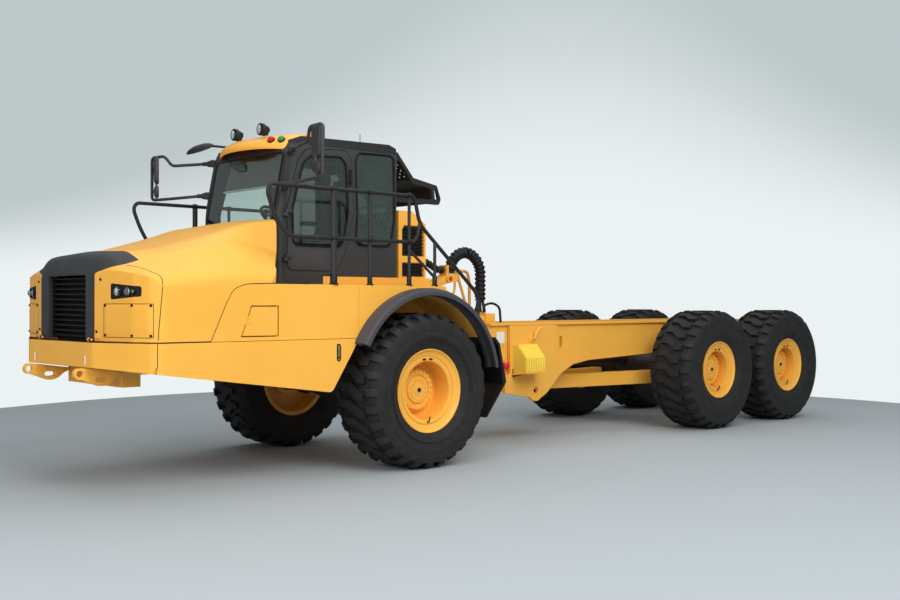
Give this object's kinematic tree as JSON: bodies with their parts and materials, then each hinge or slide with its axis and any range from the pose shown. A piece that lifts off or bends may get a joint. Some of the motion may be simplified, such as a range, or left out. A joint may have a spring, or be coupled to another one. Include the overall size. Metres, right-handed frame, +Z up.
{
  "type": "articulated hauler chassis",
  "caption": "Bare chassis of an articulated dump truck with cab, tilting hood, steering hitch, rolling rear frame and driven wheels, ready to take a body.",
  "frame": {"origin": "on the ground under the middle of the overall length, on the centre line", "axes": "+X forward, +Y to the machine's left, +Z up"},
  "size_m": [12.4659, 3.698, 3.94],
  "materials": {
    "yellow_paint": "semi-gloss",
    "dark_paint": "satin",
    "dark_casting": "painted",
    "dark_plastic": "matte",
    "glass": "tinted",
    "lamp_glass": "clear",
    "rod_chrome": "polished",
    "hose_rubber": "matte",
    "chock_plastic": "moulded",
    "tyre_rubber": "matte"
  },
  "bodies": {
    "front_unit": {"front_frame": "yellow_paint", "carriers": "yellow_paint", "front_axle": "dark_casting", "engine_block": "dark_casting", "radiator": "dark_casting", "bumper": "yellow_paint", "tow_lugs": "yellow_paint", "fenders": "yellow_paint", "arch_trims": "dark_plastic", "ladders": "dark_plastic", "cab_base": "yellow_paint", "cab_shell": "dark_paint", "cab_roof": "dark_paint", "cab_glass": "glass", "cab_visor": "yellow_paint", "cab_guard": "dark_paint", "operator_station": "dark_plastic", "rear_tower": "yellow_paint", "handrails": "dark_paint", "mirrors": "dark_paint", "roof_lamps": "dark_paint", "hose_loop": "hose_rubber"},
    "hood": {"hood_shell": "yellow_paint", "grille_surround": "dark_plastic", "grille_slats": "dark_plastic", "headlamp_housings": "dark_plastic", "headlamp_lenses": "lamp_glass"},
    "door": {"door_frame": "dark_paint", "door_glass": "glass"},
    "flap": {"filler_flap": "yellow_paint"},
    "yoke": {"hitch_yoke": "yellow_paint"},
    "rear_unit": {"rear_frame": "yellow_paint", "hoist_lugs": "yellow_paint", "hinge_brackets": "yellow_paint", "mid_axle": "dark_casting", "drawbar": "yellow_paint", "rear_axle": "dark_casting", "walking_beams": "yellow_paint", "propshafts": "dark_casting", "chocks": "chock_plastic", "hose_block": "yellow_paint"},
    "steer_barrel_left": {"barrel_left": "dark_paint"},
    "steer_barrel_right": {"barrel_right": "dark_paint"},
    "steer_rod_left": {"rod_left": "rod_chrome"},
    "steer_rod_right": {"rod_right": "rod_chrome"},
    "wheel_front_left": {"tyre_front_left": "tyre_rubber", "rim_front_left": "yellow_paint"},
    "wheel_front_right": {"tyre_front_right": "tyre_rubber", "rim_front_right": "yellow_paint"},
    "wheel_mid_left": {"tyre_mid_left": "tyre_rubber", "rim_mid_left": "yellow_paint"},
    "wheel_mid_right": {"tyre_mid_right": "tyre_rubber", "rim_mid_right": "yellow_paint"},
    "wheel_rear_left": {"tyre_rear_left": "tyre_rubber", "rim_rear_left": "yellow_paint"},
    "wheel_rear_right": {"tyre_rear_right": "tyre_rubber", "rim_rear_right": "yellow_paint"}
  },
  "joints": [
    {"name": "hood_tilt", "type": "hinge", "parent": "front_unit", "child": "hood", "pos_m": [6.058, 0, 1.532], "axis": [0, 1, 0], "range_deg": [0, 60]},
    {"name": "door_swing", "type": "hinge", "parent": "front_unit", "child": "door", "pos_m": [3.871, 0.822, 2.9], "axis": [0, 0, -1], "range_deg": [0, 40]},
    {"name": "flap_swing", "type": "hinge", "parent": "front_unit", "child": "flap", "pos_m": [4.455, 1.489, 1.7], "axis": [0, 0, 1], "range_deg": [0, 100]},
    {"name": "steering", "type": "hinge", "parent": "front_unit", "child": "yoke", "pos_m": [0.983, 0, 1], "axis": [0, 0, 1], "range_deg": [-45, 45], "deforming": ["hose_loop"]},
    {"name": "roll", "type": "hinge", "parent": "yoke", "child": "rear_unit", "pos_m": [0.413, 0, 1], "axis": [1, 0, 0], "range_deg": [-15, 15], "deforming": ["hose_loop"]},
    {"name": "steer_barrel_left_swing", "type": "hinge", "parent": "front_unit", "child": "steer_barrel_left", "pos_m": [2.103, 0.6, 1], "axis": [0, 0, 1], "range_deg": [-2.65, 2.65]},
    {"name": "steer_rod_left_slide", "type": "slide", "parent": "steer_barrel_left", "child": "steer_rod_left", "axis": [-0.9901, -0.1403, 0], "range_m": [-0.3272, 0.3272]},
    {"name": "steer_barrel_right_swing", "type": "hinge", "parent": "front_unit", "child": "steer_barrel_right", "pos_m": [2.103, -0.6, 1], "axis": [0, 0, 1], "range_deg": [-2.65, 2.65]},
    {"name": "steer_rod_right_slide", "type": "slide", "parent": "steer_barrel_right", "child": "steer_rod_right", "axis": [-0.9901, 0.1403, 0], "range_m": [-0.3272, 0.3272]},
    {"name": "wheel_front_left_turn", "type": "hinge", "parent": "front_unit", "child": "wheel_front_left", "pos_m": [2.483, 1.34, 0.89], "axis": [0, 1, 0], "continuous": true},
    {"name": "wheel_front_right_turn", "type": "hinge", "parent": "front_unit", "child": "wheel_front_right", "pos_m": [2.483, -1.34, 0.89], "axis": [0, 1, 0], "continuous": true},
    {"name": "wheel_mid_left_turn", "type": "hinge", "parent": "rear_unit", "child": "wheel_mid_left", "pos_m": [-3.367, 1.34, 0.89], "axis": [0, 1, 0], "continuous": true},
    {"name": "wheel_mid_right_turn", "type": "hinge", "parent": "rear_unit", "child": "wheel_mid_right", "pos_m": [-3.367, -1.34, 0.89], "axis": [0, 1, 0], "continuous": true},
    {"name": "wheel_rear_left_turn", "type": "hinge", "parent": "rear_unit", "child": "wheel_rear_left", "pos_m": [-5.343, 1.34, 0.89], "axis": [0, 1, 0], "continuous": true},
    {"name": "wheel_rear_right_turn", "type": "hinge", "parent": "rear_unit", "child": "wheel_rear_right", "pos_m": [-5.343, -1.34, 0.89], "axis": [0, 1, 0], "continuous": true}
  ],
  "couplings": [
    {"joint": "steer_barrel_left_swing", "follows": "steering", "ratio": 0.04771},
    {"joint": "steer_rod_left_slide", "follows": "steering", "m_per_rad": 0.41409},
    {"joint": "steer_barrel_right_swing", "follows": "steering", "ratio": 0.04771},
    {"joint": "steer_rod_right_slide", "follows": "steering", "m_per_rad": -0.41409}
  ]
}
